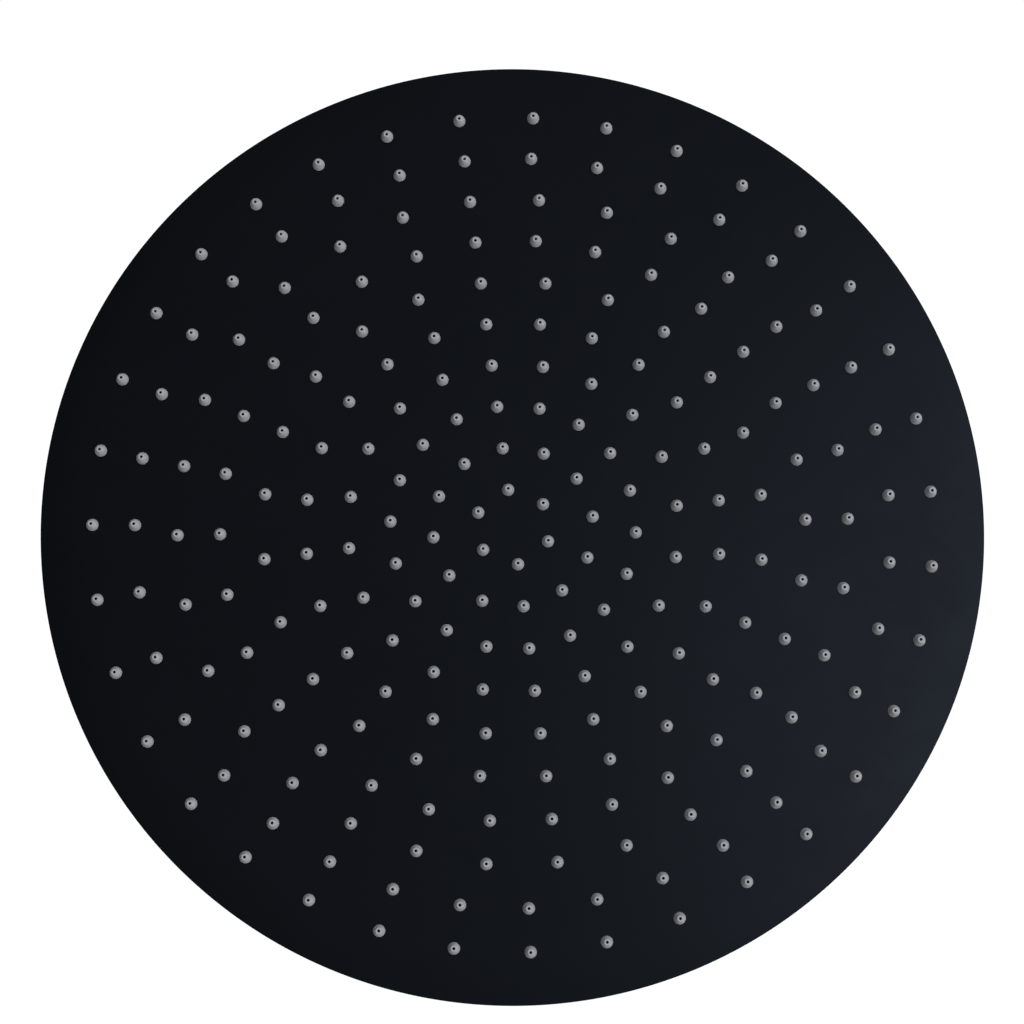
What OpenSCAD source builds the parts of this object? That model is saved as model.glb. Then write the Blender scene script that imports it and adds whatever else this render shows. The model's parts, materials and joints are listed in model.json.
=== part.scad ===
// Round rain shower head, ultra-thin, hung on a swivel ball joint.
// Installed position: the inlet points up (+Z), the spray face points down (-Z).
// The origin is the centre of the inlet's mouth. All sizes are in millimetres.

/* [Head] */
// Outside diameter of the head
head_d = 400; // [390:5:500]
// Thickness of the face plate
face_t = 1; // [0.8:0.1:1.2]
// Thickness of the back plate
back_t = 0.8; // [0.6:0.1:1]
// Width of the flat rim where the two plates are joined
rim_w = 9; // [6:1:10]
// Height of the water space just inside the rim
edge_gap = 3.6; // [3:0.1:5]
// Height of the water space under the hub
hub_gap = 8.2; // [8:0.2:12]

/* [Nozzles] */
// Number of nozzles in each ring, from the centre out
ring_counts = [6, 12, 18, 20, 24, 24, 30, 30, 35, 35]; // [1:1:35]
// Radius of the innermost ring
first_ring_r = 16; // [14:1:17]
// Distance from one ring to the next
ring_pitch = 18; // [16:0.5:18]
// Diameter of a nozzle where it meets the face
nozzle_d = 5.25; // [4.75:0.25:6]
// Height of a nozzle above the face
nozzle_h = 5; // [4:0.5:6]
// Diameter of a nozzle's flat tip
tip_d = 2.5; // [2:0.1:3]
// Diameter of the jet hole
jet_d = 1.2; // [0.8:0.1:1.4]

/* [Ball joint] */
// Diameter of the ball
ball_d = 24; // [23.6:0.1:24.4]
// Running clearance of the spherical and swivelling faces
joint_fit = 0.08; // [0.05:0.01:0.1]
// Outside diameter of the collar
collar_d = 40; // [39:1:42]

/* [Inlet] */
// Diameter of the threaded socket, at the thread's roots (G 1/2)
thread_d = 21; // [20.9:0.1:21.2]
// Depth of the threaded socket
thread_depth = 10.5; // [10:0.5:11]
// Width across the flats of the spanner hexagon
hex_af = 25; // [24:1:26]

/* [Hidden] */
$fn = 96;

plate_black = [0.07, 0.08, 0.09];
fitting_black = [0.12, 0.12, 0.13];
silicone_grey = [0.55, 0.56, 0.58];
seal_dark = [0.2, 0.2, 0.22];
plastic_white = [0.85, 0.85, 0.82];
steel = [0.7, 0.72, 0.74];

// Heights of the main faces, from the inlet's mouth down
ball_z = -31;
head_r = head_d / 2;
face_z = -58;
cavity_z = face_z + face_t;
back_top_z = cavity_z + hub_gap + back_t;

// Plates
pan_r = head_r - rim_w - 3;
hub_flat_r = 34;
pan_slope = (hub_gap - edge_gap) / (pan_r - hub_flat_r);
stud_r = 3;
inner_studs = [6, 61];
outer_studs = [12, 133];

// Nozzle plugs: a soft cone outside, a neck through the plate, a flange inside
hole_r = 1.8;
neck_r = 1.6;
inner_flange_r = 2.9;
inner_flange_t = 1.2;
feed_r = 1;
lip_t = 1.1;
flank_curve_r = 14;

// Ball joint, with heights measured from the ball's centre
ball_r = ball_d / 2;
ball_foot = -11;
stud_neck_r = 6.5;
stud_shoulder = 12.6;
bore_r = 4;
seal_in_r = ball_r + joint_fit;
seal_out_r = 13.6;
seal_low = -9.5;
seal_high = -2.6;
seat_sphere_r = seal_out_r + joint_fit;
seat_r = 15.3;
seat_low = -11;
seat_high = -0.6;
pocket_r = seat_r + joint_fit;
pocket_floor = -13;
ring_section = 1.9;
ring_mid_r = 13;

// Collar, with heights measured from the ball's centre
hub_thread_r = 17.3;
collar_fit = 0.06;
collar_low = -9.3;
collar_roof = -0.2;
collar_seat_low = 2.4;
collar_seat_high = 5.6;
collar_top = 7.6;
collar_shoulder = 1.5;
lip_in_r = 11.6;
lip_out_r = 13.2;

// Hub
hub_flange_r = 28;
hub_flange_t = 2.5;
hub_body_r = 18;
hub_fillet = 3;
gasket_t = 1;
gasket_r = 26;
nose_r = 14;
nose_z = cavity_z + 3.5;
passage_r = 10;
nut_t = 3.5;
nut_af = 36;
flange_low_z = back_top_z + gasket_t;

// Inlet socket
washer_t = 2;
washer_r = 9.6;
washer_hole_r = 6.8;
screen_t = 0.8;
screen_r = 9.5;
screen_hole_r = 0.55;
screen_pitch = 1.7;
washer_pocket_r = 9.7;
washer_floor_z = -thread_depth - washer_t - screen_t;
regulator_t = 3.4;
regulator_r = 7.1;
regulator_gap = 0.1;
regulator_floor_z = washer_floor_z - regulator_t - regulator_gap;
stud_body_r = 13.2;
hex_top_z = -9.2;

// A washer or bush: a ring with its lowest face at z = 0
module ring(outer, inner, height) {
    linear_extrude(height)
        difference() {
            circle(outer);
            circle(inner);
        }
}

// Copies of the children, evenly spaced on a circle, the first one on +Y
module around(count, radius) {
    for (i = [0 : count - 1])
        rotate(90 + i * 360 / count)
            translate([radius, 0, 0])
                children();
}

// The right half-plane strip between two heights, for cutting round profiles
module band(low, high) {
    translate([0, low])
        square([100, high - low]);
}

// Underside height of the back plate above the face plate, at a radius in the pan
function pan_height(r) = edge_gap + (pan_r - r) * pan_slope;

// Inlet adapter: threaded socket, spanner hexagon, neck and ball in one piece
module ball_stud() {
    color(fitting_black)
        difference() {
            union() {
                translate([0, 0, ball_z])
                    rotate_extrude()
                        union() {
                            intersection() {
                                circle(ball_r);
                                band(ball_foot, ball_r);
                            }
                            translate([0, ball_r / 2])
                                square([stud_neck_r, stud_shoulder - ball_r / 2 + 1]);
                        }
                stud_hexagon();
                stud_body();
            }
            stud_socket();
        }
}

// Spanner hexagon with its corners turned off at both ends
module stud_hexagon() {
    hex_r = hex_af / 2 / cos(30);
    corner = 0.7;
    low_z = ball_z + stud_shoulder;
    intersection() {
        translate([0, 0, low_z])
            cylinder(h = hex_top_z - low_z, r = hex_r, $fn = 6);
        rotate_extrude()
            polygon([
                [0, low_z], [hex_r - corner, low_z], [hex_r, low_z + corner],
                [hex_r, hex_top_z - corner], [hex_r - corner, hex_top_z], [0, hex_top_z]
            ]);
    }
}

// Round upper part of the adapter, with a bevelled mouth
module stud_body() {
    bevel = 0.8;
    rotate_extrude()
        polygon([
            [0, hex_top_z], [stud_body_r, hex_top_z], [stud_body_r, -bevel],
            [stud_body_r - bevel, 0], [0, 0]
        ]);
}

// Everything bored out of the adapter, from the thread down to the ball's foot
module stud_socket() {
    over = 1;
    translate([0, 0, -thread_depth])
        cylinder(h = thread_depth + over, d = thread_d);
    translate([0, 0, washer_floor_z])
        cylinder(h = -thread_depth - washer_floor_z + over, r = washer_pocket_r);
    translate([0, 0, regulator_floor_z])
        cylinder(h = washer_floor_z - regulator_floor_z + over, r = regulator_r + regulator_gap);
    translate([0, 0, ball_z - ball_r])
        cylinder(h = regulator_floor_z - ball_z + ball_r + over, r = bore_r);
}

// Flat rubber washer that the supply pipe's end presses on
module inlet_washer() {
    color(seal_dark)
        translate([0, 0, -thread_depth - washer_t])
            ring(washer_r, washer_hole_r, washer_t);
}

// Perforated steel disc that keeps grit out of the jets
module filter_screen() {
    rows = 3;
    color(steel)
        translate([0, 0, washer_floor_z])
            linear_extrude(screen_t)
                difference() {
                    circle(screen_r);
                    circle(screen_hole_r);
                    for (i = [1 : rows])
                        around(6 * i, i * screen_pitch)
                            circle(screen_hole_r);
                }
}

// Plastic disc whose small holes limit the flow
module flow_regulator() {
    color(plastic_white)
        translate([0, 0, regulator_floor_z])
            difference() {
                cylinder(h = regulator_t, r = regulator_r);
                translate([0, 0, regulator_t - 1])
                    cylinder(h = 2, r = 5);
                around(6, 2.6)
                    translate([0, 0, -1])
                        cylinder(h = regulator_t + 2, r = 0.8);
            }
}

// Soft spherical seal that the ball turns in
module ball_seal() {
    color(seal_dark)
        translate([0, 0, ball_z])
            rotate_extrude()
                intersection() {
                    difference() {
                        circle(seal_out_r);
                        circle(seal_in_r);
                    }
                    band(seal_low, seal_high);
                }
}

// Hard ring with a spherical cup, which carries the seal in the hub's pocket
module seat_ring() {
    color(plastic_white)
        translate([0, 0, ball_z])
            rotate_extrude()
                difference() {
                    translate([0, seat_low])
                        square([seat_r, seat_high - seat_low]);
                    circle(seat_sphere_r);
                }
}

// Rubber ring under the seat, which keeps the joint tight
module preload_ring() {
    color(seal_dark)
        translate([0, 0, ball_z + pocket_floor + ring_section / 2])
            rotate_extrude()
                translate([ring_mid_r, 0])
                    circle(d = ring_section);
}

// Screwed collar that holds the ball down in the hub
module ball_collar() {
    collar_r = collar_d / 2;
    edge = 0.8;
    color(fitting_black)
        translate([0, 0, ball_z])
            rotate_extrude()
                difference() {
                    polygon([
                        [0, collar_low], [collar_r - edge, collar_low],
                        [collar_r, collar_low + edge], [collar_r, collar_shoulder],
                        [lip_out_r, collar_top], [0, collar_top]
                    ]);
                    circle(ball_r + joint_fit);
                    intersection() {
                        circle(seat_sphere_r + joint_fit);
                        band(collar_roof - 1, collar_seat_low);
                    }
                    translate([0, collar_low - 1])
                        square([hub_thread_r + collar_fit, collar_roof - collar_low + 1]);
                    collar_mouth();
                }
}

// Flared opening above the ball, wide enough for the neck at full tilt
module collar_mouth() {
    seat_r_at_top = sqrt(pow(ball_r + joint_fit, 2) - pow(collar_seat_high, 2));
    polygon([
        [0, collar_seat_high], [seat_r_at_top, collar_seat_high],
        [lip_in_r, collar_top], [lip_in_r, collar_top + 1], [0, collar_top + 1]
    ]);
}

// Hub: threaded pocket for the joint, flange on the back plate, nose inside
module inlet_hub() {
    top_z = ball_z + collar_roof - 0.15;
    thread_low_z = ball_z + collar_low - 0.3;
    floor_z = ball_z + pocket_floor;
    flange_top_z = flange_low_z + hub_flange_t;
    color(fitting_black)
        rotate_extrude()
            difference() {
                union() {
                    translate([0, nose_z])
                        square([nose_r, top_z - nose_z]);
                    translate([0, flange_low_z])
                        square([hub_flange_r, hub_flange_t]);
                    translate([0, flange_low_z])
                        square([hub_body_r, thread_low_z - flange_low_z]);
                    translate([0, thread_low_z - 1])
                        square([hub_thread_r, top_z - thread_low_z + 1]);
                    translate([hub_body_r, flange_top_z])
                        difference() {
                            square(hub_fillet);
                            translate([hub_fillet, hub_fillet])
                                circle(hub_fillet);
                        }
                }
                translate([0, nose_z - 1])
                    square([passage_r, floor_z - nose_z + 2]);
                translate([0, floor_z])
                    square([pocket_r, top_z - floor_z + 1]);
            }
}

// Rubber gasket between the hub's flange and the back plate
module hub_gasket() {
    color(seal_dark)
        translate([0, 0, back_top_z])
            ring(gasket_r, nose_r + 0.3, gasket_t);
}

// Hexagon nut inside the head that clamps the hub to the back plate
module hub_nut() {
    color(steel)
        translate([0, 0, back_top_z - back_t - nut_t])
            difference() {
                cylinder(h = nut_t, r = nut_af / 2 / cos(30), $fn = 6);
                translate([0, 0, -1])
                    cylinder(h = nut_t + 2, r = nose_r + collar_fit);
            }
}

// Pressed upper sheet: flat rim, step, shallow cone and flat seat for the hub
module back_plate() {
    step_r = head_r - rim_w;
    color(plate_black)
        translate([0, 0, cavity_z])
            rotate_extrude()
                polygon([
                    [head_r, 0], [step_r, 0], [pan_r, edge_gap],
                    [hub_flat_r, hub_gap], [nose_r + 0.3, hub_gap],
                    [nose_r + 0.3, hub_gap + back_t], [hub_flat_r, hub_gap + back_t],
                    [pan_r + back_t / 2, edge_gap + back_t],
                    [step_r + back_t / 2, back_t], [head_r, back_t]
                ]);
}

// Posts that hold the two sheets apart against the water pressure
module spacer_studs() {
    color(steel)
        translate([0, 0, cavity_z])
            for (set = [inner_studs, outer_studs])
                around(set[0], set[1])
                    cylinder(h = pan_height(set[1] + stud_r), r = stud_r);
}

// Flat lower sheet, punched with one hole for every nozzle
module face_plate() {
    color(plate_black)
        translate([0, 0, face_z])
            linear_extrude(face_t)
                difference() {
                    circle(head_r);
                    for (k = [0 : len(ring_counts) - 1])
                        around(ring_counts[k], first_ring_r + k * ring_pitch)
                            circle(hole_r);
                }
}

// Centre of the arc of a nozzle's flank, which runs from the tip's edge to the base's edge
function flank_centre(tip_r, base_r) =
    let (
        chord = [base_r - tip_r, nozzle_h],
        middle = [(tip_r + base_r) / 2, -nozzle_h / 2],
        inward = [-chord[1], chord[0]] / norm(chord)
    )
    middle + inward * sqrt(pow(flank_curve_r, 2) - pow(norm(chord) / 2, 2));

// One silicone nozzle, with the face plate's outer face at z = 0
module nozzle() {
    over = 1;
    jet_r = jet_d / 2;
    rotate_extrude()
        difference() {
            union() {
                intersection() {
                    translate(flank_centre(tip_d / 2, nozzle_d / 2))
                        circle(flank_curve_r);
                    translate([0, -nozzle_h])
                        square([nozzle_d / 2, nozzle_h]);
                }
                square([neck_r, face_t + over / 2]);
                translate([0, face_t])
                    square([inner_flange_r, inner_flange_t]);
            }
            translate([0, -nozzle_h - over])
                square([jet_r, lip_t + 2 * over]);
            translate([0, -nozzle_h + lip_t])
                square([feed_r, nozzle_h + face_t + inner_flange_t]);
        }
}

// One ring of nozzles, counted from 0 at the centre
module nozzle_ring(k) {
    color(silicone_grey)
        translate([0, 0, face_z])
            around(ring_counts[k], first_ring_r + k * ring_pitch)
                nozzle();
}

ball_stud();
inlet_washer();
filter_screen();
flow_regulator();
ball_seal();
seat_ring();
preload_ring();
ball_collar();
inlet_hub();
hub_gasket();
hub_nut();
back_plate();
spacer_studs();
face_plate();
nozzle_ring(0);  // nozzle_ring_01
nozzle_ring(1);  // nozzle_ring_02
nozzle_ring(2);  // nozzle_ring_03
nozzle_ring(3);  // nozzle_ring_04
nozzle_ring(4);  // nozzle_ring_05
nozzle_ring(5);  // nozzle_ring_06
nozzle_ring(6);  // nozzle_ring_07
nozzle_ring(7);  // nozzle_ring_08
nozzle_ring(8);  // nozzle_ring_09
nozzle_ring(9);  // nozzle_ring_10
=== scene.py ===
"""Looks of the round rain shower head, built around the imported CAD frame.

Everything is in metres in the CAD frame: the inlet's mouth is at the origin, the spray face looks down.
Sizes that the frame doesn't give are written in millimetres and multiplied by MM.
"""
import json
import math
import random

import bpy
import numpy as np
from mathutils import Matrix, Vector
from mathutils.geometry import delaunay_2d_cdt

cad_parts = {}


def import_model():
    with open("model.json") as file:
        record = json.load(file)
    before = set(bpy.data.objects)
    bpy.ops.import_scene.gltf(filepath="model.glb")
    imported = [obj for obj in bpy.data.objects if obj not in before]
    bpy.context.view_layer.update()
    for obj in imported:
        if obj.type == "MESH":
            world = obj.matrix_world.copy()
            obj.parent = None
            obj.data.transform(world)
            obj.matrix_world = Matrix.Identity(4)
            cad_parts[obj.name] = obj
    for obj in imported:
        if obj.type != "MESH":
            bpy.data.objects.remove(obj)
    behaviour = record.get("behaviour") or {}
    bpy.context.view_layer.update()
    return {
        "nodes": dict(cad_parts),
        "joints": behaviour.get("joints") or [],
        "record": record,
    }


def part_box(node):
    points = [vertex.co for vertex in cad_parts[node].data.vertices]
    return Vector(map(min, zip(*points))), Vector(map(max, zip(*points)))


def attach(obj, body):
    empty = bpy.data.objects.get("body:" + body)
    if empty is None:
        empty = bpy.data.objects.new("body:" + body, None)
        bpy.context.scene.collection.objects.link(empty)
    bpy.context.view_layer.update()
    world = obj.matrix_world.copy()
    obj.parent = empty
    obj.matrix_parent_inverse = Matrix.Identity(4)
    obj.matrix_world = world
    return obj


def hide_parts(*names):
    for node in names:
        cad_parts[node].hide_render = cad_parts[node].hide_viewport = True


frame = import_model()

MM = 0.001
TAU = 2 * math.pi
UP_Y = math.pi / 2
random.seed(7)

# ---------------------------------------------------------------- sizes from the frame

PLATE_LOW, PLATE_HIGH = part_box("face_plate")
FACE_Z = PLATE_LOW.z
CAVITY_Z = PLATE_HIGH.z
HEAD_R = min(-PLATE_LOW.x, -PLATE_LOW.y, PLATE_HIGH.x, PLATE_HIGH.y)
BACK_TOP_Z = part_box("back_plate")[1].z
NOZZLE_LOW, NOZZLE_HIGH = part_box("nozzle_ring_01")
NOZZLE_H = FACE_Z - NOZZLE_LOW.z
PLUG_TOP_Z = NOZZLE_HIGH.z
BALL_Z = frame["joints"][0]["pos_m"][2]
STUD_LOW, STUD_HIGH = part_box("ball_stud")
COLLAR_LOW, COLLAR_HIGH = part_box("ball_collar")
HUB_LOW, HUB_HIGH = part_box("inlet_hub")
THREAD = frame["record"]["mounts"][0]["dims"]
THREAD_R = THREAD["r_mm"] * MM
THREAD_DEPTH = THREAD["length_mm"] * MM

# ---------------------------------------------------------------- sizes shared with the CAD source

RING_COUNTS = (6, 12, 18, 20, 24, 24, 30, 30, 35, 35)
FIRST_RING_R = 16 * MM
RING_PITCH = 18 * MM
NOZZLE_R = 2.625 * MM
TIP_R = 1.25 * MM
JET_R = 0.6 * MM
FEED_R = 1 * MM
LIP_T = 1.1 * MM
NECK_R = 1.6 * MM
HOLE_R = 1.8 * MM
PLUG_FLANGE_R = 2.9 * MM
FLANK_CURVE_R = 14 * MM

# ---------------------------------------------------------------- shape details

EDGE_STEPS = 6
NO_FILLET = 0
SHEET_SHARP_DEG = 50

# ---------------------------------------------------------------- camera, in mm from the middle of the face

LENS_MM = 94.56
SENSOR_MM = 36
CAMERA_FROM_FACE = (27.3, -136.3, -1131.0)
TARGET_FROM_FACE = (-0.4, 6.4, 0)
ROLL_DEG = 7.49

# ---------------------------------------------------------------- light levels

STUDIO_WHITE = 1.05
FLOOR_TONE = 0.855
# (place from the dim side to the bright side, share of ROOM_STRENGTH)
ROOM_LEVELS = ((0.15, 0.05), (0.5, 0.5), (1.0, 1.0))
ROOM_STRENGTH = 1.34
ROOM_COLOUR = (0.90, 0.95, 1.0)
BRIGHT_SIDE = (-0.976, -0.216, 0.0)
# Heights of the view direction between which the room turns into the white studio
HORIZON = (-0.02, 0.01)
# Key and fill: angles from the camera's line of sight, sizes in metres
KEY_AZIMUTH_DEG = 14.0
KEY_OFF_AXIS_DEG = 25.8
KEY_DISTANCE = 1.5
KEY_RADIUS = 0.465
KEY_RADIANCE = 1.84
KEY_COLOUR = (0.92, 0.96, 1.0)
FILL_OFF_AXIS_DEG = 55
FILL_RADIUS = 0.5
FILL_RADIANCE = 0.25
# Lamps above the head: name, direction, distance, radius, radiance, colour
UPPER_LAMPS = (
    ("top", (-0.45, -0.30, 1.1), 1.7, 0.5, 5.0, (1.0, 0.99, 0.98)),
    ("back", (-0.55, 0.80, 0.50), 1.8, 0.3, 1.75, (0.98, 0.99, 1.0)),
    ("front", (0.75, -0.70, 0.45), 1.8, 0.3, 3.0, (1.0, 0.99, 0.98)),
)


# ---------------------------------------------------------------- mesh helpers

def rounded(corners, steps=EDGE_STEPS):
    """A closed profile of (radius, height) from corners (radius, height, fillet radius)."""
    points = []
    count = len(corners)
    for i, (r, z, fillet) in enumerate(corners):
        here = Vector((r, z))
        before = Vector(corners[i - 1][:2]) - here
        after = Vector(corners[(i + 1) % count][:2]) - here
        if fillet <= 0:
            points.append((r, z))
            continue
        a, b = before.normalized(), after.normalized()
        half = a.angle(b) / 2
        reach = min(fillet / math.tan(half), before.length * 0.49, after.length * 0.49)
        radius = reach * math.tan(half)
        centre = here + (a + b).normalized() * (radius / math.sin(half))
        start, end = here + a * reach - centre, here + b * reach - centre
        turn = start.angle_signed(end)
        for k in range(steps + 1):
            arm = start.copy()
            arm.rotate(Matrix.Rotation(-turn * k / steps, 2))
            points.append(tuple(centre + arm))
    return points


def make_object(name, points, faces, material, sharp_deg=30):
    """A smooth-shaded mesh object with sharp edges above an angle."""
    mesh = bpy.data.meshes.new(name)
    mesh.from_pydata([tuple(p) for p in points], [], faces)
    mesh.validate()
    mesh.shade_smooth()
    mesh.set_sharp_from_angle(angle=math.radians(sharp_deg))
    mesh.materials.append(material)
    piece = bpy.data.objects.new(name, mesh)
    bpy.context.scene.collection.objects.link(piece)
    return piece


def lathe_rows(profile, segments, shape=None):
    """A row of points about Z for each point of a profile; shape(r, z, angle) may change a radius."""
    rows = []
    for r, z in profile:
        for s in range(segments):
            angle = TAU * s / segments
            radius = shape(r, z, angle) if shape else r
            rows.append((radius * math.cos(angle), radius * math.sin(angle), z))
    return rows


def row_faces(starts, segments, flip=False):
    """Quads between neighbouring rows of points; starts holds the index of each row's first point."""
    faces = []
    for a, b in zip(starts, starts[1:]):
        for s in range(segments):
            t = (s + 1) % segments
            if flip:
                faces.append((a + s, b + s, b + t, a + t))
            else:
                faces.append((a + s, a + t, b + t, b + s))
    return faces


def lathe_faces(rows, segments):
    """Quads between neighbouring rows, and from the last row to the first."""
    return row_faces([i * segments for i in range(rows)] + [0], segments)


def lathe(name, profile, segments, material, shape=None, sharp_deg=30, crisp_z=None):
    """A closed profile turned about Z into a ring-like solid; edges at height crisp_z stay crisp."""
    points = lathe_rows(profile, segments, shape)
    faces = lathe_faces(len(profile), segments)
    piece = make_object(name, points, faces, material, sharp_deg)
    if crisp_z is not None:
        at_height = [abs(v.co.z - crisp_z) < 1e-6 for v in piece.data.vertices]
        for edge in piece.data.edges:
            if at_height[edge.vertices[0]] and at_height[edge.vertices[1]]:
                edge.use_edge_sharp = True
    return piece


def circle_points(cx, cy, radius, count):
    angles = [TAU * i / count for i in range(count)]
    return [(cx + radius * math.cos(a), cy + radius * math.sin(a)) for a in angles]


def loop_edges(first, count):
    return [(first + i, first + (i + 1) % count) for i in range(count)]


def triangulate(loops, keep):
    """Triangles of the plane between closed loops of points; keep(x, y) says which triangles stay."""
    points, edges = [], []
    for loop in loops:
        if len(loop) > 1:
            edges += loop_edges(len(points), len(loop))
        points += loop
    out, _, triangles, _, _, _ = delaunay_2d_cdt([Vector(p) for p in points], edges, [], 0, 1e-9)
    if len(out) != len(points):
        raise RuntimeError("two loops of a plate cross or touch")
    kept = []
    for a, b, c in triangles:
        middle = (out[a] + out[b] + out[c]) / 3
        if keep(middle.x, middle.y):
            kept.append((a, b, c))
    return [tuple(p) for p in out], kept


def ring_places(count, radius):
    """(x, y) of evenly spaced places on a circle, the first one on +Y."""
    for i in range(count):
        angle = UP_Y + TAU * i / count
        yield radius * math.cos(angle), radius * math.sin(angle)


# ---------------------------------------------------------------- materials

class Nodes:
    """A node-based material being built, with its Principled shader."""

    def __init__(self, name):
        self.material = bpy.data.materials.new(name)
        self.material.use_nodes = True
        self.tree = self.material.node_tree
        self.shader = self.tree.nodes["Principled BSDF"]
        self.coords = self.add("ShaderNodeTexCoord").outputs["Object"]

    def add(self, kind, **values):
        node = self.tree.nodes.new(kind)
        for key, value in values.items():
            setattr(node, key, value)
        return node

    def link(self, source, target):
        self.tree.links.new(source, target)

    def noise(self, scale, detail=3.0, roughness=0.5, coords=None):
        node = self.add("ShaderNodeTexNoise")
        node.inputs["Scale"].default_value = scale
        node.inputs["Detail"].default_value = detail
        node.inputs["Roughness"].default_value = roughness
        self.link(coords or self.coords, node.inputs["Vector"])
        return node.outputs["Fac"]

    def stretched(self, scale):
        node = self.add("ShaderNodeMapping")
        node.inputs["Scale"].default_value = scale
        self.link(self.coords, node.inputs["Vector"])
        return node.outputs["Vector"]

    def ramp(self, fac, stops):
        """A colour ramp; stops are (position, colour)."""
        node = self.add("ShaderNodeValToRGB")
        elements = node.color_ramp.elements
        while len(elements) < len(stops):
            elements.new(0.5)
        for element, (position, colour) in zip(elements, stops):
            element.position = position
            element.color = (*colour, 1)
        self.link(fac, node.inputs["Fac"])
        return node.outputs["Color"]

    def span(self, fac, low, high, start=0.25, end=0.75):
        """fac from start to end, spread over low to high."""
        node = self.add("ShaderNodeMapRange")
        for key, value in (("From Min", start), ("From Max", end), ("To Min", low), ("To Max", high)):
            node.inputs[key].default_value = value
        self.link(fac, node.inputs["Value"])
        return node.outputs["Result"]

    def mix(self, fac, a, b):
        node = self.add("ShaderNodeMix", data_type="RGBA")
        self.link(fac, node.inputs["Factor"])
        for source, socket in ((a, node.inputs[6]), (b, node.inputs[7])):
            if isinstance(source, tuple):
                socket.default_value = (*source, 1)
            else:
                self.link(source, socket)
        return node.outputs[2]

    def bump(self, height, strength, distance, normal=None):
        node = self.add("ShaderNodeBump")
        node.inputs["Strength"].default_value = strength
        node.inputs["Distance"].default_value = distance
        self.link(height, node.inputs["Height"])
        if normal:
            self.link(normal, node.inputs["Normal"])
        return node.outputs["Normal"]

    def set(self, **values):
        for key, value in values.items():
            socket = self.shader.inputs[key.replace("_", " ")]
            if isinstance(value, bpy.types.NodeSocket):
                self.link(value, socket)
            else:
                socket.default_value = value
        return self.material


def black_coating(name, roughness, grain, edge_wear_and_sheen=False):
    """Satin black electro-coating: clouded, with an orange-peel skin and, on turned parts, edges lightened
    as rubbed wear and painted sheen.
    """
    n = Nodes(name)
    cloud = n.noise(14, 4)
    speckle = n.noise(1900, 2)
    deep = n.ramp(cloud, [(0.3, (0.0006, 0.0007, 0.0009)), (0.7, (0.0010, 0.0011, 0.0014))])
    colour = n.mix(n.span(speckle, 0.0, 0.35, 0.5, 0.8), deep, (0.0020, 0.0021, 0.0026))
    if edge_wear_and_sheen:
        # Edges lightened by pointiness: partly rubbed wear, partly painted sheen (a painted highlight along
        # the turned edges).
        edge = n.add("ShaderNodeNewGeometry").outputs["Pointiness"]
        colour = n.mix(n.span(edge, 0.0, 0.5, 0.53, 0.62), colour, (0.05, 0.048, 0.046))
    skin = n.bump(n.noise(grain, 3), 0.10, 0.00002)
    skin = n.bump(n.noise(36, 2), 0.03, 0.0004, skin)
    rough = n.span(n.noise(60, 4), roughness - 0.03, roughness + 0.03)
    return n.set(
        Base_Color=colour,
        Roughness=rough,
        Normal=skin,
        Specular_IOR_Level=0.15,
        Specular_Tint=(0.68, 0.79, 1.0, 1),
    )


def silicone(name):
    """Soft mid-grey silicone with a faint moulded bloom."""
    n = Nodes(name)
    cloud = n.noise(420, 3)
    colour = n.ramp(cloud, [(0.3, (0.428, 0.426, 0.432)), (0.7, (0.490, 0.487, 0.493))])
    skin = n.bump(n.noise(5200, 3), 0.08, 0.00002)
    return n.set(
        Base_Color=colour,
        Roughness=n.span(n.noise(900, 3), 0.46, 0.58),
        Normal=skin,
        Specular_IOR_Level=0.4,
        Subsurface_Weight=0.05,
        Subsurface_Radius=(1.0, 0.9, 0.8),
        Subsurface_Scale=0.0003,
    )


def moulded_rubber(name):
    """Dark moulded rubber with a dusty bloom."""
    n = Nodes(name)
    colour = n.ramp(n.noise(600, 4), [(0.3, (0.018, 0.018, 0.019)), (0.75, (0.036, 0.036, 0.037))])
    return n.set(
        Base_Color=colour,
        Roughness=n.span(n.noise(300, 3), 0.6, 0.75),
        Normal=n.bump(n.noise(2600, 3), 0.2, 0.00004),
    )


def bare_steel(name):
    """Uncoated stainless steel with fine turning lines."""
    n = Nodes(name)
    lines = n.noise(60, 4, 0.6, n.stretched((1, 1, 60)))
    colour = n.ramp(lines, [(0.3, (0.50, 0.51, 0.52)), (0.7, (0.62, 0.63, 0.64))])
    return n.set(
        Base_Color=colour,
        Metallic=1.0,
        Roughness=n.span(lines, 0.28, 0.42),
        Normal=n.bump(lines, 0.1, 0.00003),
    )


def white_plastic(name):
    """Natural acetal, a little waxy."""
    n = Nodes(name)
    colour = n.ramp(n.noise(180, 3), [(0.3, (0.74, 0.74, 0.70)), (0.7, (0.80, 0.80, 0.77))])
    return n.set(
        Base_Color=colour,
        Roughness=n.span(n.noise(400, 3), 0.38, 0.5),
        Normal=n.bump(n.noise(3000, 2), 0.1, 0.00003),
        Subsurface_Weight=0.2,
        Subsurface_Radius=(1.0, 1.0, 0.9),
        Subsurface_Scale=0.001,
    )


def pale_floor(name):
    n = Nodes(name)
    colour = n.ramp(n.noise(40, 2), [(0.3, (0.800, 0.800, 0.795)), (0.7, (0.806, 0.806, 0.801))])
    return n.set(Base_Color=colour, Roughness=n.span(n.noise(40, 2), 0.74, 0.78))


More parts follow.
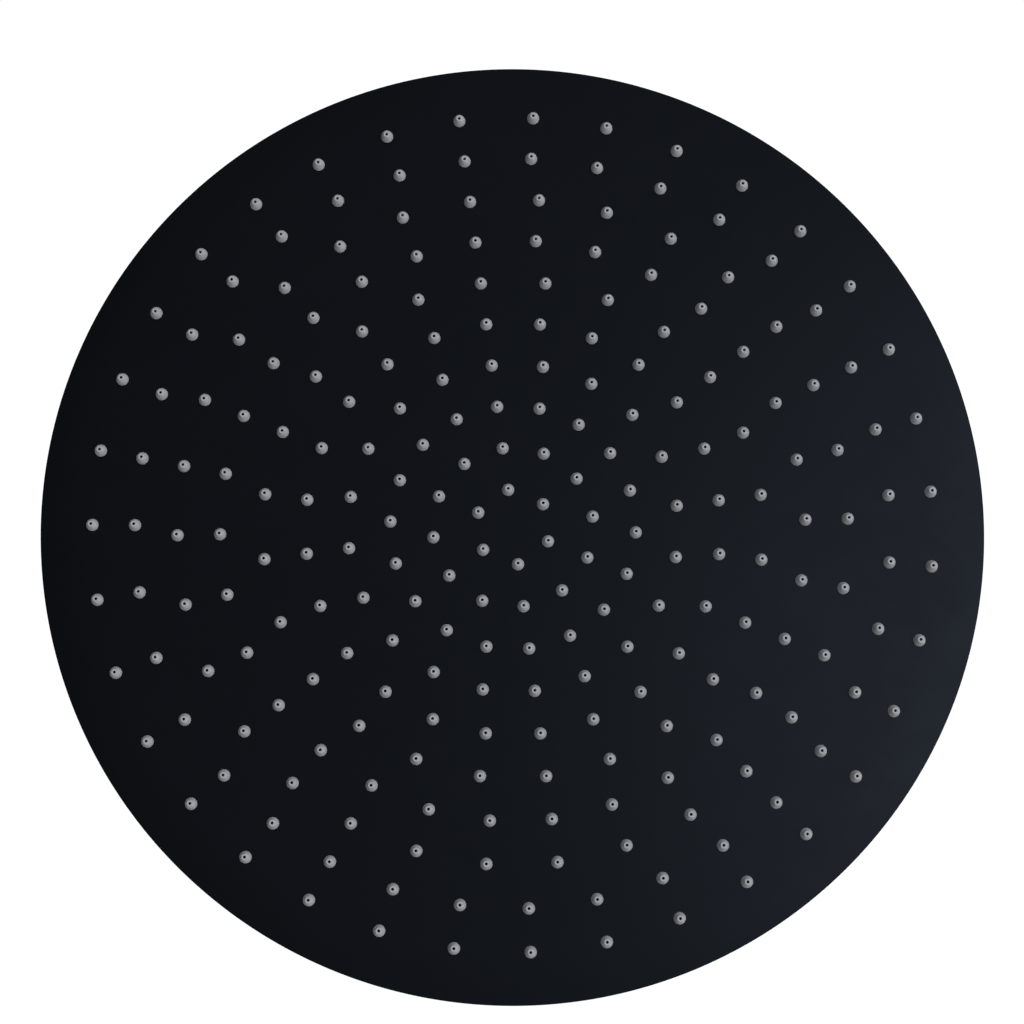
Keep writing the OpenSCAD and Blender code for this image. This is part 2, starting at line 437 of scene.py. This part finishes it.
PLATE_BLACK = black_coating("plate_black", 0.305, 2600)
FITTING_BLACK = black_coating("fitting_black", 0.30, 3400, edge_wear_and_sheen=True)
SILICONE = silicone("nozzle_grey")
RUBBER = moulded_rubber("seal_dark")
STEEL = bare_steel("bare_steel")
PLASTIC = white_plastic("white_plastic")
NODE_LOOKS = {
    "seal_rubber": RUBBER,
    "bare_steel": STEEL,
    "white_plastic": PLASTIC,
    "black_fitting": FITTING_BLACK,
    "black_plate": PLATE_BLACK,
    "nozzle_silicone": SILICONE,
}


# ---------------------------------------------------------------- camera

def camera():
    """The photograph's view: a long lens from below, a little off the face's normal."""
    data = bpy.data.cameras.new("camera")
    data.lens = LENS_MM
    data.sensor_width = SENSOR_MM
    cam = bpy.data.objects.new("camera", data)
    bpy.context.scene.collection.objects.link(cam)
    face = Vector((0, 0, FACE_Z))
    place = face + Vector(CAMERA_FROM_FACE) * MM
    target = face + Vector(TARGET_FROM_FACE) * MM
    forward = (target - place).normalized()
    roll = math.radians(ROLL_DEG)
    up = Vector((-math.sin(roll), math.cos(roll), 0))
    right = forward.cross(up).normalized()
    up = right.cross(forward)
    cam.matrix_world = Matrix.Translation(place) @ Matrix((right, up, -forward)).transposed().to_4x4()
    data.clip_start, data.clip_end = 0.05, 2000
    bpy.context.scene.camera = cam
    return cam


# ---------------------------------------------------------------- pieces of the head

def nozzle_profile():
    """Closed profile of one plug; heights are measured up from the face."""
    chord = Vector((NOZZLE_R - TIP_R, NOZZLE_H))
    inward = Vector((-chord.y, chord.x)).normalized()
    middle = Vector(((NOZZLE_R + TIP_R) / 2, -NOZZLE_H / 2))
    centre = middle + inward * math.sqrt(FLANK_CURVE_R**2 - (chord.length / 2) ** 2)
    flank_steps, edge_steps = 12, 3
    jet_edge, tip_edge, foot_edge = 0.10 * MM, 0.16 * MM, 0.08 * MM
    flange_edge, feed_edge = 0.3 * MM, 0.2 * MM
    flank = []
    for k in range(1, flank_steps):
        height = -NOZZLE_H * (1 - k / flank_steps)
        reach = math.sqrt(FLANK_CURVE_R**2 - (height - centre.y) ** 2)
        flank.append((centre.x + reach, height, NO_FILLET))
    plug_top = PLUG_TOP_Z - FACE_Z
    plate = CAVITY_Z - FACE_Z
    lip = -NOZZLE_H + LIP_T
    corners = [(JET_R, -NOZZLE_H, jet_edge), (TIP_R, -NOZZLE_H, tip_edge)] + flank
    corners += [
        (NOZZLE_R, 0, foot_edge), (NECK_R, 0, NO_FILLET), (NECK_R, plate, NO_FILLET),
        (PLUG_FLANGE_R, plate, NO_FILLET), (PLUG_FLANGE_R, plug_top, flange_edge),
        (FEED_R, plug_top, feed_edge), (FEED_R, lip, NO_FILLET), (JET_R, lip, NO_FILLET),
    ]
    return rounded(corners, edge_steps)


def nozzle_rings():
    """Ten pieces, each a ring of soft nozzles that lean by a hair, as pushed-in plugs do."""
    segments = 36
    sharp_deg = 40
    profile = nozzle_profile()
    rows = np.array(lathe_rows(profile, segments))
    faces = np.array(lathe_faces(len(profile), segments))
    outside = rows[:, 2:3] < 0
    lean_limit = math.radians(0.5)
    for k, count in enumerate(RING_COUNTS):
        points, quads = [], []
        for x, y in ring_places(count, FIRST_RING_R + k * RING_PITCH):
            lean = Matrix.Rotation(random.uniform(-lean_limit, lean_limit), 3, "X")
            lean = lean @ Matrix.Rotation(random.uniform(-lean_limit, lean_limit), 3, "Y")
            turn = lean @ Matrix.Rotation(random.uniform(0, TAU), 3, "Z")
            placed = np.where(outside, rows @ np.array(turn).T, rows)
            placed[:, 2] = np.maximum(placed[:, 2], -NOZZLE_H)
            quads.append(faces + len(points) * len(rows))
            points.append(placed + np.array((x, y, FACE_Z)))
        name = f"nozzles_{k + 1:02d}"
        all_faces = np.concatenate(quads).tolist()
        ring = make_object(name, np.concatenate(points), all_faces, SILICONE, sharp_deg)
        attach(ring, "head")
        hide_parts(f"nozzle_ring_{k + 1:02d}")


def face_plate():
    """Flat sheet with a hole behind every nozzle and a fine rolled edge towards the spray side."""
    segments, hole_segments = 720, 24
    roll = 0.55 * MM
    holes = [
        place
        for k, count in enumerate(RING_COUNTS)
        for place in ring_places(count, FIRST_RING_R + k * RING_PITCH)
    ]
    centres = np.array(holes)
    inner = HEAD_R - roll
    loops = [circle_points(0, 0, inner, segments)]
    loops += [circle_points(x, y, HOLE_R, hole_segments) for x, y in holes]

    def keep(x, y):
        return math.hypot(x, y) < inner and np.hypot(*(centres - (x, y)).T).min() > HOLE_R * 0.99

    flat, triangles = triangulate(loops, keep)
    count = len(flat)
    points = [(x, y, FACE_Z) for x, y in flat] + [(x, y, CAVITY_Z) for x, y in flat]
    faces = [(a, c, b) for a, b, c in triangles]
    faces += [(a + count, b + count, c + count) for a, b, c in triangles]
    for h in range(len(holes)):
        start = segments + h * hole_segments
        faces += [(b, a, a + count, b + count) for a, b in loop_edges(start, hole_segments)]
    edge = []
    for i in range(1, EDGE_STEPS + 1):
        turn = math.pi / 2 * i / EDGE_STEPS
        edge.append((inner + roll * math.sin(turn), FACE_Z + roll * (1 - math.cos(turn))))
    edge.append((HEAD_R, CAVITY_Z))
    first = len(points)
    points += lathe_rows(edge, segments)
    faces += row_faces([0] + [first + i * segments for i in range(len(edge))] + [count], segments)
    plate = make_object("spray_face", points, faces, PLATE_BLACK, SHEET_SHARP_DEG)
    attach(plate, "head")
    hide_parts("face_plate")


def back_plate():
    """Pressed back sheet: flat rim with a weld seam, soft step, shallow cone, weld marks over the posts."""
    segments, mark_segments, edge_steps = 360, 24, 8
    thick = BACK_TOP_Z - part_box("hub_nut")[1].z
    hub_hole, hub_flat = 14.3 * MM, 34 * MM
    outer = HEAD_R
    rim = outer - 9 * MM
    pan = rim - 3 * MM
    low_step = CAVITY_Z + 3.6 * MM
    rim_top = CAVITY_Z + thick
    cone_bend, step_bend, rim_bend, edge_r = 60 * MM, 2.2 * MM, 1.2 * MM, 0.3 * MM
    seam_in, seam_middle, seam_out, seam_depth = 1.2 * MM, 0.9 * MM, 0.6 * MM, 0.12 * MM
    top = rounded([
        (hub_hole, BACK_TOP_Z, NO_FILLET), (hub_flat, BACK_TOP_Z, cone_bend),
        (pan + thick / 2, low_step + thick, step_bend), (rim + thick / 2, rim_top, rim_bend),
        (outer - seam_in, rim_top, NO_FILLET), (outer - seam_middle, rim_top - seam_depth, NO_FILLET),
        (outer - seam_out, rim_top, NO_FILLET), (outer, rim_top, edge_r),
        (outer, CAVITY_Z, NO_FILLET),
    ], edge_steps)
    radii = [r for r, _ in top]
    heights = [z for _, z in top]
    last_flat = max(i for i, r in enumerate(radii) if r < pan - 2 * MM)
    step_start = last_flat + 1

    # The pan: rings of points on the cone, and small rings in each weld mark
    cone_rings = [r * MM for r in (48, 56, 66, 82, 98, 114, 128, 138, 154, 170)]
    cone_rings = [r for r in cone_rings if radii[last_flat] < r < radii[step_start]]
    pan_rings = radii[:step_start] + cone_rings + [radii[step_start]]
    loops = [circle_points(0, 0, r, segments) for r in pan_rings]
    post_rings = ((6, 61 * MM), (12, 133 * MM))
    marks = [place for count, radius in post_rings for place in ring_places(count, radius)]
    mark_r, mark_depth = 2.6 * MM, 0.12 * MM
    for x, y in marks:
        loops += [circle_points(x, y, mark_r * share, mark_segments) for share in (1.0, 0.8, 0.6, 0.35)]
        loops.append([(x, y)])
    centres = np.array(marks)

    def keep(x, y):
        return hub_hole * 0.9999 < math.hypot(x, y) < pan_rings[-1]

    def height(x, y):
        sheet = np.interp(math.hypot(x, y), radii[:step_start + 1], heights[:step_start + 1])
        gap = np.hypot(*(centres - (x, y)).T).min() / mark_r
        dip = 0.5 + 0.5 * math.cos(math.pi * min(gap, 1.0))
        return float(sheet) - mark_depth * dip

    flat, faces = triangulate(loops, keep)
    points = [(x, y, height(x, y)) for x, y in flat]

    # The step, the rim and the underside
    rows = top[step_start + 1:] + [
        (rim, CAVITY_Z), (pan, low_step), (hub_flat, BACK_TOP_Z - thick), (hub_hole, BACK_TOP_Z - thick)
    ]
    pan_edge = (len(pan_rings) - 1) * segments
    first = len(points)
    points += lathe_rows(rows, segments)
    starts = [pan_edge] + [first + i * segments for i in range(len(rows))] + [0]
    faces += row_faces(starts, segments, flip=True)
    plate = make_object("back_shell", points, faces, PLATE_BLACK, SHEET_SHARP_DEG)
    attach(plate, "head")
    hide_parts("back_plate")


# ---------------------------------------------------------------- pieces of the joint

def hub():
    """Turned hub: flange with broken edges, hollow fillet, threaded neck and nose."""
    segments = 288
    gasket_t, flange_t = 1 * MM, 2.5 * MM
    flange_r = HUB_HIGH.x
    flange_low = BACK_TOP_Z + gasket_t
    flange_top = flange_low + flange_t
    body_r, thread_r, pocket_r = 18 * MM, 17.3 * MM, 15.38 * MM
    nose_r, passage_r = 14 * MM, 10 * MM
    neck_z = COLLAR_LOW.z - 0.3 * MM
    floor_z = BALL_Z - 13 * MM
    fine, flange_edge, hollow, floor_bend = 0.25 * MM, 0.7 * MM, 3 * MM, 0.4 * MM
    profile = rounded([
        (nose_r, HUB_LOW.z, fine), (nose_r, flange_low, NO_FILLET), (flange_r, flange_low, fine),
        (flange_r, flange_top, flange_edge), (body_r, flange_top, hollow), (body_r, neck_z, fine),
        (thread_r, neck_z, NO_FILLET), (thread_r, HUB_HIGH.z, fine), (pocket_r, HUB_HIGH.z, fine),
        (pocket_r, floor_z, floor_bend), (passage_r, floor_z, fine), (passage_r, HUB_LOW.z, fine),
    ])
    piece = lathe("hub_body", profile, segments, FITTING_BLACK)
    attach(piece, "head")
    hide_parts("inlet_hub")


def collar():
    """Screwed collar with a band of fine straight knurling and a domed shoulder."""
    outer = COLLAR_HIGH.x
    low, top = COLLAR_LOW.z, COLLAR_HIGH.z
    shoulder = BALL_Z + 1.5 * MM
    crown_r, mouth_r, thread_r = 13.2 * MM, 11.6 * MM, 17.36 * MM
    chamfer, fine, shoulder_bend, crown_bend = 0.8 * MM, 0.3 * MM, 1.6 * MM, 0.8 * MM
    seat_r, seat_low, seat_high = 12.08 * MM, BALL_Z + 2.4 * MM, BALL_Z + 5.6 * MM
    cave_r, roof = 13.76 * MM, BALL_Z - 0.2 * MM
    seat_steps, cave_steps, band_steps = 8, 4, 6
    ribs, per_rib, rib_sharpness = 80, 6, 0.7
    depth, run_out = 0.32 * MM, 0.9 * MM
    band_low, band_high = low + 1.8 * MM, shoulder - 1.2 * MM
    outside = rounded([
        (outer - chamfer, low, fine), (outer, low + chamfer, fine), (outer, shoulder, shoulder_bend),
        (crown_r, top, crown_bend), (mouth_r, top, NO_FILLET),
    ])
    below = [p for p in outside if p[1] < band_low]
    above = [p for p in outside if p[1] > band_high]
    band = [(outer, band_low + (band_high - band_low) * i / band_steps) for i in range(band_steps + 1)]

    def sphere(radius, start, end, steps):
        heights = [start + (end - start) * i / steps for i in range(steps + 1)]
        return [(math.sqrt(radius**2 - (z - BALL_Z) ** 2), z) for z in heights]

    seat = sphere(seat_r, seat_high, seat_low, seat_steps)
    cave = sphere(cave_r, seat_low, roof, cave_steps)
    profile = below + band + above + seat + cave + [(thread_r, roof), (thread_r, low)]

    def knurl(r, z, angle):
        if r < outer - 1e-7 or not band_low <= z <= band_high:
            return r
        fade = min(1.0, min(z - band_low, band_high - z) / run_out)
        wave = abs(math.sin(angle * ribs / 2)) ** rib_sharpness
        return r - depth * fade * (1 - wave)

    piece = lathe("knurled_collar", profile, ribs * per_rib, FITTING_BLACK, knurl)
    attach(piece, "head")
    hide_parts("ball_collar")


def stud():
    """Inlet adapter: ball, neck, spanner hexagon with turned corners, and the socket's bores."""
    segments, edge_steps = 240, 4
    ball_r, neck_r, bore_r = 12 * MM, 6.5 * MM, 4 * MM
    hex_low, hex_high = BALL_Z + 12.6 * MM, -9.2 * MM
    corner_r = STUD_HIGH.x
    flat_r = corner_r * math.cos(math.pi / 6)
    turned_off = 0.12 * MM
    ease_r, ease_steps = 0.7 * MM, 5
    body_r = 13.2 * MM
    washer_r, washer_floor = 9.7 * MM, -13.3 * MM
    regulator_r, regulator_floor = 7.2 * MM, -16.8 * MM
    foot = STUD_LOW.z
    fine, bend, neck_bend, sharp = 0.2 * MM, 0.3 * MM, 0.6 * MM, 0.1 * MM
    mouth_chamfer, thread_chamfer = 0.8 * MM, 0.5 * MM
    ball = []
    ball_steps = 40
    start = math.asin((foot - BALL_Z) / ball_r)
    end = math.acos(neck_r / ball_r)
    for i in range(ball_steps + 1):
        a = start + (end - start) * i / ball_steps
        ball.append((ball_r * math.cos(a), BALL_Z + ball_r * math.sin(a), NO_FILLET))
    rise = [ease_r * i / ease_steps for i in range(ease_steps + 1)]
    ease = [(corner_r - (ease_r - up), hex_low + up, NO_FILLET) for up in rise]
    ease += [(corner_r - up, hex_high - (ease_r - up), NO_FILLET) for up in rise]
    corners = [(bore_r, foot, fine)] + ball + [(neck_r, hex_low, neck_bend)] + ease
    corners += [(body_r, hex_high + up, NO_FILLET) for up in (0, 0.25 * MM, 0.5 * MM)]
    corners += [
        (body_r, -1.5 * MM, NO_FILLET), (body_r, -mouth_chamfer, bend), (body_r - mouth_chamfer, 0, bend),
        (THREAD_R + thread_chamfer, 0, sharp), (THREAD_R, -thread_chamfer, sharp),
        (THREAD_R, -THREAD_DEPTH, NO_FILLET), (washer_r, -THREAD_DEPTH, sharp),
        (washer_r, washer_floor, NO_FILLET), (regulator_r, washer_floor, sharp),
        (regulator_r, regulator_floor, NO_FILLET), (bore_r, regulator_floor, fine),
    ]
    profile = rounded(corners, edge_steps)

    def hexagon(r, z, angle):
        if not hex_low - 1e-7 <= z <= hex_high + 1e-7 or r <= body_r:
            return r
        phase = (angle % (math.pi / 3)) - math.pi / 6
        return min(r, flat_r / math.cos(phase), corner_r - turned_off)

    piece = lathe("inlet_stud", profile, segments, FITTING_BLACK, hexagon, crisp_z=hex_high)
    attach(piece, "inlet")
    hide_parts("ball_stud")


def inlet_thread():
    """Helical ridge of the G 1/2 thread on the socket's wall."""
    pitch = 25.4 / 14 * MM
    root_r, crest_r = THREAD_R + 0.02 * MM, 9.4 * MM
    shoulder_r = crest_r + 0.12 * MM
    start_z, end_z = -THREAD_DEPTH + 0.9 * MM, -1.0 * MM
    per_turn, run_in = 72, 24
    sharp_deg = 25
    steps = int((end_z - start_z) / pitch * per_turn)
    # (radius, height as a share of the pitch)
    section = [(root_r, -0.46), (shoulder_r, -0.09), (crest_r, 0.0), (shoulder_r, 0.09), (root_r, 0.46)]
    points = []
    for i in range(steps + 1):
        angle = TAU * i / per_turn
        z = start_z + (end_z - start_z) * i / steps
        grow = min(1.0, (i + 1) / run_in, (steps - i + 1) / run_in)
        for r, lift in section:
            radius = root_r - (root_r - r) * grow
            points.append((radius * math.cos(angle), radius * math.sin(angle), z + lift * pitch * grow))
    width = len(section)
    faces = []
    for i in range(steps):
        for k in range(width):
            m = (k + 1) % width
            a, b = i * width, (i + 1) * width
            faces.append((a + k, a + m, b + m, b + k))
    faces.append(tuple(reversed(range(width))))
    faces.append(tuple(steps * width + k for k in range(width)))
    piece = make_object("inlet_thread_ridge", points, faces, FITTING_BLACK, sharp_deg)
    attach(piece, "inlet")


def washer():
    """Flat inlet washer with soft edges."""
    segments, edge_steps = 144, 5
    low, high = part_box("inlet_washer")
    outer, inner = high.x, 6.8 * MM
    edge = 0.3 * MM
    square = [(inner, low.z), (outer, low.z), (outer, high.z), (inner, high.z)]
    profile = rounded([(r, z, edge) for r, z in square], edge_steps)
    piece = lathe("rubber_washer", profile, segments, RUBBER)
    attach(piece, "inlet")
    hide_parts("inlet_washer")


def dress_cad_nodes():
    """The inner pieces keep their CAD shapes and get the materials of their slots."""
    slots = {s["node"]: s["material_slot"] for s in frame["record"]["subparts"]}
    for name, node in frame["nodes"].items():
        node.data.materials.clear()
        node.data.materials.append(NODE_LOOKS[slots[name]])


# ---------------------------------------------------------------- floor, world and lights

def floor():
    """A wide plain floor far below; the head doesn't see it, so its black face stays black."""
    reach, z = 600, -2.1
    corners = [(-reach, -reach, z), (reach, -reach, z), (reach, reach, z), (-reach, reach, z)]
    mesh = bpy.data.meshes.new("floor")
    mesh.from_pydata(corners, [], [(0, 1, 2, 3)])
    mesh.materials.append(pale_floor("pale_floor"))
    plane = bpy.data.objects.new("floor", mesh)
    bpy.context.scene.collection.objects.link(plane)
    plane.visible_diffuse = False
    plane.visible_glossy = False


def world():
    """A white studio above the horizon; below it a dim room that brightens towards the key's side.

    Seen directly, past the floor's far end, the lower half has the floor's own tone.
    """
    sky = bpy.data.worlds.new("studio")
    bpy.context.scene.world = sky
    sky.use_nodes = True
    tree = sky.node_tree
    coords = tree.nodes.new("ShaderNodeTexCoord").outputs["Generated"]
    split = tree.nodes.new("ShaderNodeSeparateXYZ")
    tree.links.new(coords, split.inputs["Vector"])
    towards_key = tree.nodes.new("ShaderNodeVectorMath")
    towards_key.operation = "DOT_PRODUCT"
    tree.links.new(coords, towards_key.inputs[0])
    towards_key.inputs[1].default_value = BRIGHT_SIDE
    spread = tree.nodes.new("ShaderNodeMapRange")
    spread.inputs["From Min"].default_value = -1
    tree.links.new(towards_key.outputs["Value"], spread.inputs["Value"])
    ramp = tree.nodes.new("ShaderNodeValToRGB")
    ramp.color_ramp.elements.new(0.5)
    for element, (position, share) in zip(ramp.color_ramp.elements, ROOM_LEVELS):
        element.position = position
        element.color = (share, share, share, 1)
    tree.links.new(spread.outputs["Result"], ramp.inputs["Fac"])
    below = tree.nodes.new("ShaderNodeMath")
    below.operation = "MULTIPLY"
    below.inputs[1].default_value = ROOM_STRENGTH
    tree.links.new(ramp.outputs["Color"], below.inputs[0])
    above = tree.nodes.new("ShaderNodeMapRange")
    above.inputs["From Min"].default_value, above.inputs["From Max"].default_value = HORIZON
    tree.links.new(split.outputs["Z"], above.inputs["Value"])
    seen = tree.nodes.new("ShaderNodeLightPath").outputs["Is Camera Ray"]
    ground = tree.nodes.new("ShaderNodeMix")
    tree.links.new(seen, ground.inputs["Factor"])
    tree.links.new(below.outputs["Value"], ground.inputs["A"])
    ground.inputs["B"].default_value = FLOOR_TONE
    level = tree.nodes.new("ShaderNodeMix")
    tree.links.new(above.outputs["Result"], level.inputs["Factor"])
    tree.links.new(ground.outputs["Result"], level.inputs["A"])
    level.inputs["B"].default_value = STUDIO_WHITE
    plain = tree.nodes.new("ShaderNodeMath")
    plain.operation = "MAXIMUM"
    tree.links.new(above.outputs["Result"], plain.inputs[0])
    tree.links.new(seen, plain.inputs[1])
    tint = tree.nodes.new("ShaderNodeMix")
    tint.data_type = "RGBA"
    tree.links.new(plain.outputs["Value"], tint.inputs["Factor"])
    tint.inputs[6].default_value = (*ROOM_COLOUR, 1)
    tint.inputs[7].default_value = (1, 1, 1, 1)
    background = tree.nodes["Background"]
    tree.links.new(tint.outputs[2], background.inputs["Color"])
    tree.links.new(level.outputs["Result"], background.inputs["Strength"])


def softbox(name, direction, distance, radius, radiance, colour):
    """A round soft light that looks at the middle of the spray face."""
    light = bpy.data.lights.new(name, "AREA")
    light.shape = "DISK"
    light.size = 2 * radius
    light.energy = radiance * math.pi * math.pi * radius**2
    light.color = colour
    lamp = bpy.data.objects.new(name, light)
    bpy.context.scene.collection.objects.link(lamp)
    lamp.location = Vector((0, 0, FACE_Z)) + direction.normalized() * distance
    lamp.rotation_mode = "QUATERNION"
    lamp.rotation_quaternion = (-direction).to_track_quat("-Z", "Y")
    lamp.visible_camera = False


def lights(cam):
    """Key from below at the picture's right, a weak fill from its left, and three lamps above the head."""
    turn = cam.matrix_world.to_3x3()
    right, up, back = turn.col[0], turn.col[1], turn.col[2]
    azimuth, off_axis = math.radians(KEY_AZIMUTH_DEG), math.radians(KEY_OFF_AXIS_DEG)
    side = right * math.cos(azimuth) + up * math.sin(azimuth)
    key_way = back * math.cos(off_axis) + side * math.sin(off_axis)
    softbox("key", key_way, KEY_DISTANCE, KEY_RADIUS, KEY_RADIANCE, KEY_COLOUR)
    fill_off_axis = math.radians(FILL_OFF_AXIS_DEG)
    fill_way = back * math.cos(fill_off_axis) - right * math.sin(fill_off_axis)
    softbox("fill", fill_way, KEY_DISTANCE, FILL_RADIUS, FILL_RADIANCE, KEY_COLOUR)
    for name, direction, distance, radius, radiance, colour in UPPER_LAMPS:
        softbox(name, Vector(direction), distance, radius, radiance, colour)


CAMERA = camera()
floor()
world()
lights(CAMERA)
bpy.context.scene.view_settings.view_transform = "Standard"
dress_cad_nodes()
nozzle_rings()
face_plate()
back_plate()
hub()
collar()
stud()
inlet_thread()
washer()
